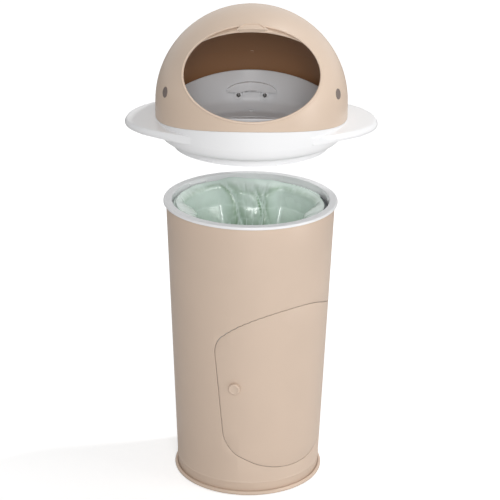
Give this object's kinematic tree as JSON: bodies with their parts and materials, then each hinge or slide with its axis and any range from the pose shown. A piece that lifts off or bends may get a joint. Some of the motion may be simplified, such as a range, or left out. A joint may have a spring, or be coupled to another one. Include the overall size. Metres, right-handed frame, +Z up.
{
  "type": "diaper pail",
  "caption": "Tapered steel pail with a curved side door, a bag on a lift-out ring, and a lift-off winged dome lid with a turning visor over a sprung throat flap.",
  "frame": {"origin": "centre of the foot ring's underside, on the floor", "axes": "+Z up, -Y the front that the lid's mouth faces, +X to the right seen from the front"},
  "size_m": [0.3647, 0.2795, 0.7257],
  "materials": {
    "enamel": "satin beige enamel on sheet steel",
    "plain_steel": "bare sheet steel",
    "fastener_steel": "plated steel",
    "foot_rubber": "matte",
    "white_plastic": "satin white",
    "lining_plastic": "satin pale grey",
    "dome_plastic": "gloss beige",
    "visor_plastic": "gloss beige",
    "knob_plastic": "satin beige",
    "bush_plastic": "matte",
    "plug_rubber": "matte grey brown",
    "seal_rubber": "matte pale grey",
    "ring_plastic": "satin dark grey",
    "film": "thin pale green film"
  },
  "bodies": {
    "pail": {"body_shell": "enamel", "base_rim": "enamel", "floor_pan": "plain_steel", "foot_ring": "foot_rubber", "collar": "white_plastic", "door_frame": "plain_steel", "body_hinge_leaves": "fastener_steel", "body_hinge_rivets": "fastener_steel", "hinge_pins": "fastener_steel"},
    "door": {"door_panel": "enamel", "door_stiffener": "plain_steel", "door_hinge_leaves": "fastener_steel", "door_hinge_rivets": "fastener_steel", "knob_bush": "bush_plastic"},
    "knob": {"door_knob": "knob_plastic", "latch_cam": "fastener_steel", "cam_washer": "fastener_steel", "cam_screw": "fastener_steel"},
    "liner": {"bag_ring": "ring_plastic", "bag": "film"},
    "seal": {"seal_ring": "seal_rubber"},
    "lid": {"lock_ring": "white_plastic", "lid_base": "white_plastic", "inner_funnel": "lining_plastic", "base_screws": "fastener_steel", "spring_cover": "lining_plastic", "cover_screws": "fastener_steel", "dome_shell": "dome_plastic", "dome_screws": "fastener_steel", "pivot_pins": "fastener_steel", "stop_plugs": "plug_rubber", "flap_pin": "fastener_steel", "flap_spring": "fastener_steel"},
    "visor": {"visor": "visor_plastic"},
    "flap": {"throat_flap": "lining_plastic"}
  },
  "joints": [
    {"name": "door_swing", "type": "hinge", "parent": "pail", "child": "door", "pos_m": [0.10812, 0.04368, 0.12186], "axis": [0.0358, 0.0145, 0.9993], "range_deg": [0, 110]},
    {"name": "knob_turn", "type": "hinge", "parent": "door", "child": "knob", "pos_m": [-0.0206, -0.11336, 0.179], "axis": [-0.1787, -0.9832, -0.0386], "range_deg": [0, 90]},
    {"name": "ring_lift", "type": "slide", "parent": "pail", "child": "liner", "axis": [0, 0, 1], "range_m": [0, 0.06]},
    {"name": "lid_lift", "type": "slide", "parent": "pail", "child": "seal", "axis": [0, 0, 1], "range_m": [-0.094, 0]},
    {"name": "lid_twist", "type": "hinge", "parent": "seal", "child": "lid", "pos_m": [0, 0, 0.522], "axis": [0, 0, 1], "range_deg": [-41, 0]},
    {"name": "visor_turn", "type": "hinge", "parent": "lid", "child": "visor", "pos_m": [0, 0, 0.5862], "axis": [1, 0, 0], "range_deg": [0, 56.5]},
    {"name": "flap_swing", "type": "hinge", "parent": "lid", "child": "flap", "pos_m": [0, 0.088, 0.5328], "axis": [1, 0, 0], "range_deg": [0, 65], "stiffness_Nm_per_rad": 0.08, "springref_deg": -51.57, "deforming": ["flap_spring"]}
  ]
}
